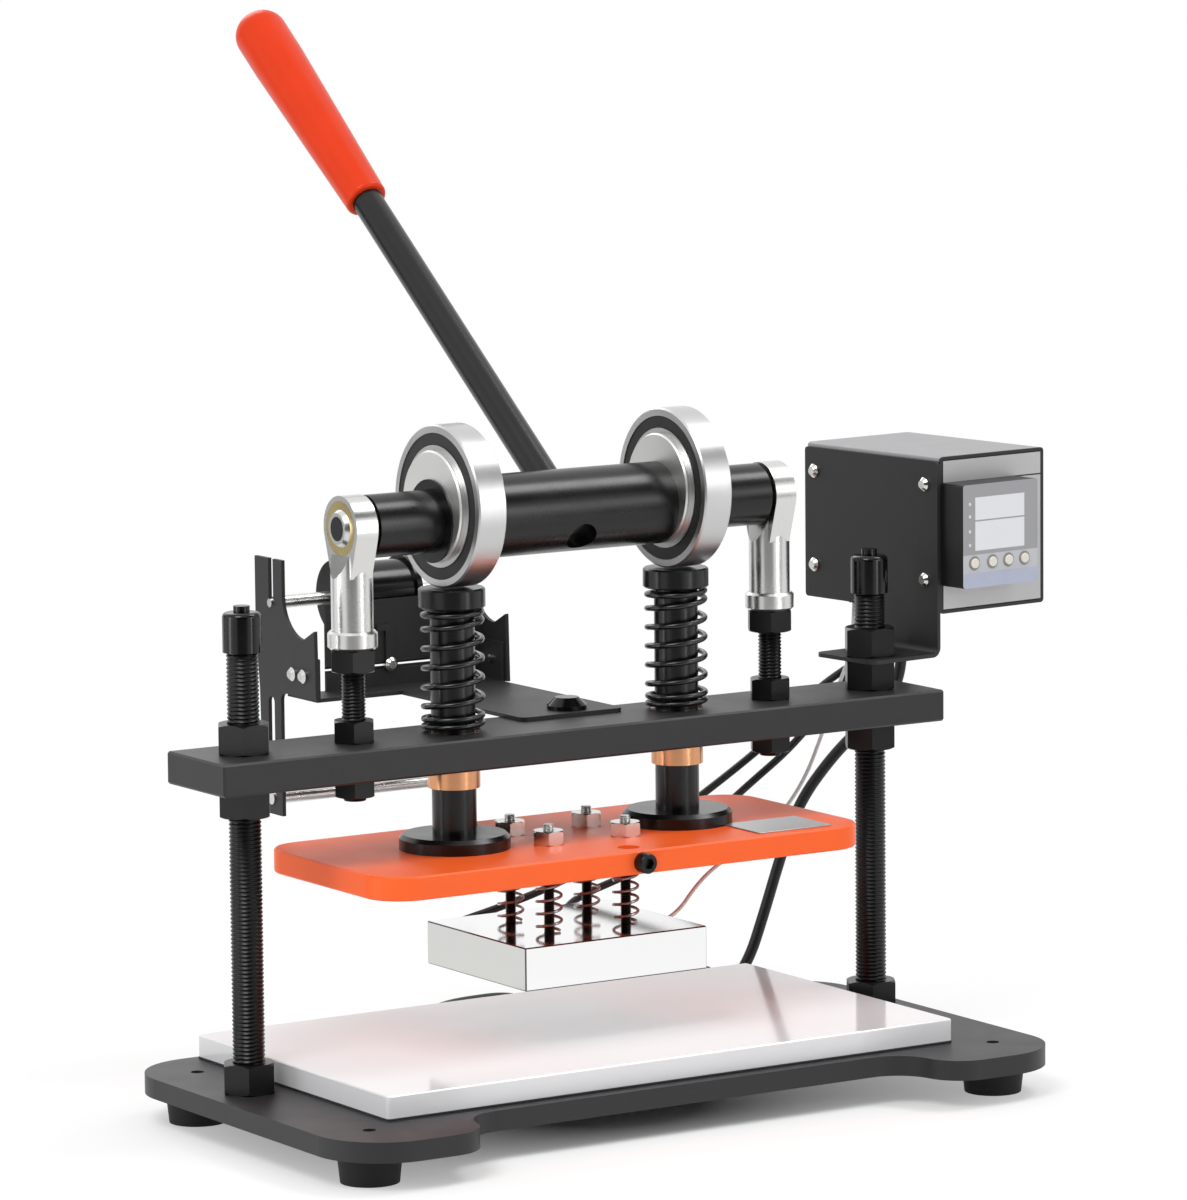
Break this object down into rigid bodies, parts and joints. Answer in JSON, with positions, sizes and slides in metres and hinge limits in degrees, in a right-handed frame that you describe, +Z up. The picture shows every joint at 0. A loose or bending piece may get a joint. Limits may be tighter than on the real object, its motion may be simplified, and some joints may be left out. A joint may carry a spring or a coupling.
{
  "type": "heated leather cutting press",
  "caption": "Bench press with a cam lever that drives two sprung plungers, an orange plate and a heated block down onto a white board, with a temperature controller at its side.",
  "frame": {"origin": "on the ground, in the middle of the four holes through the feet", "axes": "+Z up, +X along the long side towards the controller, +Y to the back"},
  "size_m": [0.4987, 0.4486, 0.5327],
  "materials": {
    "black_coat": "fine powder coat",
    "rubber": "matte rubber",
    "board_white": "polished white board",
    "black_oxide": "black oxide",
    "black_vinyl": "glossy vinyl",
    "bright_steel": "bright plated steel",
    "brass": "brass",
    "bronze": "turned bronze",
    "spring_black": "black spring wire",
    "sheet_black": "powder coated sheet",
    "zinc": "zinc plated",
    "housing_grey": "powder coated sheet",
    "panel_grey": "satin panel",
    "case_black": "moulded plastic",
    "display": "clear window",
    "cord_black": "flexible sheath",
    "black_satin": "satin black steel",
    "ground_steel": "ground face",
    "bearing_steel": "polished bearing steel",
    "seal_black": "moulded seal",
    "orange_grip": "glossy moulded grip",
    "orange_coat": "orange powder coat",
    "mirror_steel": "polished steel",
    "lead_grey": "braided sleeve",
    "button_ivory": "moulded key"
  },
  "bodies": {
    "root": {"base_plate": "black_coat", "rubber_feet": "rubber", "work_board": "board_white", "posts": "black_oxide", "post_nuts": "black_oxide", "post_caps": "black_vinyl", "cross_beam": "black_coat", "rod_ends": "bright_steel", "rod_end_liners": "brass", "rod_end_balls": "bright_steel", "bearing_studs": "black_oxide", "stud_nuts": "black_oxide", "plunger_bushes": "bronze", "plunger_springs": "spring_black", "foil_frame": "sheet_black", "foil_sides": "sheet_black", "foil_guide_rod": "bright_steel", "foil_clip": "sheet_black", "arm_screw": "black_oxide", "small_screws": "zinc", "controller_bracket": "sheet_black", "controller_housing": "housing_grey", "front_panel": "panel_grey", "instrument_case": "case_black", "display_windows": "display", "lead_grommets": "rubber", "mains_gland": "rubber", "mains_cord_feed": "cord_black", "mains_cord_coil": "cord_black", "mains_cord_tail": "cord_black", "cord_tie": "cord_black", "plug_body": "cord_black", "plug_blades": "brass"},
    "lever": {"cam_shaft": "black_satin", "eccentric_discs": "ground_steel", "bearing_inner_rings": "bearing_steel", "lever_rod": "black_satin", "lever_grip": "orange_grip"},
    "bearing_left": {"bearing_outer_ring_left": "bearing_steel", "bearing_seals_left": "seal_black", "bearing_rollers_left": "bearing_steel"},
    "bearing_right": {"bearing_outer_ring_right": "bearing_steel", "bearing_seals_right": "seal_black", "bearing_rollers_right": "bearing_steel"},
    "press": {"plungers": "black_satin", "pressing_plate": "orange_coat", "plate_screws": "black_oxide", "guide_springs": "zinc"},
    "heater": {"heater_block": "mirror_steel", "guide_studs": "black_oxide", "guide_nuts": "zinc", "heater_cartridges": "bright_steel", "heater_leads": "cord_black", "sensor_lead": "lead_grey"},
    "foil_roll": {"foil_shaft": "bright_steel", "foil_spool": "black_satin"},
    "button_1": {"button_1": "button_ivory"},
    "button_2": {"button_2": "button_ivory"},
    "button_3": {"button_3": "button_ivory"},
    "button_4": {"button_4": "button_ivory"}
  },
  "joints": [
    {"name": "lever_turn", "type": "hinge", "parent": "root", "child": "lever", "pos_m": [0, 0.0266, 0.295], "axis": [1, 0, 0], "range_deg": [0, 110]},
    {"name": "press_slide", "type": "slide", "parent": "root", "child": "press", "axis": [0, 0, -1], "range_m": [0, 0.0094], "stiffness_N_per_m": 4000, "springref_m": -0.03, "deforming": ["plunger_springs"]},
    {"name": "heater_float", "type": "slide", "parent": "press", "child": "heater", "axis": [0, 0, 1], "range_m": [0, 0.009], "stiffness_N_per_m": 4000, "springref_m": -0.003, "deforming": ["guide_springs"]},
    {"name": "bearing_left_turn", "type": "hinge", "parent": "lever", "child": "bearing_left", "pos_m": [-0.0655, 0.0266, 0.302], "axis": [1, 0, 0], "continuous": true},
    {"name": "bearing_right_turn", "type": "hinge", "parent": "lever", "child": "bearing_right", "pos_m": [0.0655, 0.0266, 0.302], "axis": [1, 0, 0], "continuous": true},
    {"name": "foil_roll_turn", "type": "hinge", "parent": "root", "child": "foil_roll", "pos_m": [-0.015, 0.19085, 0.2372], "axis": [1, 0, 0], "continuous": true},
    {"name": "button_1_press", "type": "slide", "parent": "root", "child": "button_1", "axis": [-0.1056, 0.9944, 0], "range_m": [0, 0.0008], "stiffness_N_per_m": 400, "springref_m": -0.0005},
    {"name": "button_2_press", "type": "slide", "parent": "root", "child": "button_2", "axis": [-0.1056, 0.9944, 0], "range_m": [0, 0.0008], "stiffness_N_per_m": 400, "springref_m": -0.0005},
    {"name": "button_3_press", "type": "slide", "parent": "root", "child": "button_3", "axis": [-0.1056, 0.9944, 0], "range_m": [0, 0.0008], "stiffness_N_per_m": 400, "springref_m": -0.0005},
    {"name": "button_4_press", "type": "slide", "parent": "root", "child": "button_4", "axis": [-0.1056, 0.9944, 0], "range_m": [0, 0.0008], "stiffness_N_per_m": 400, "springref_m": -0.0005}
  ],
  "couplings": [
    {"joint": "press_slide", "follows": "lever_turn", "m_per_rad": 0.0048931}
  ]
}
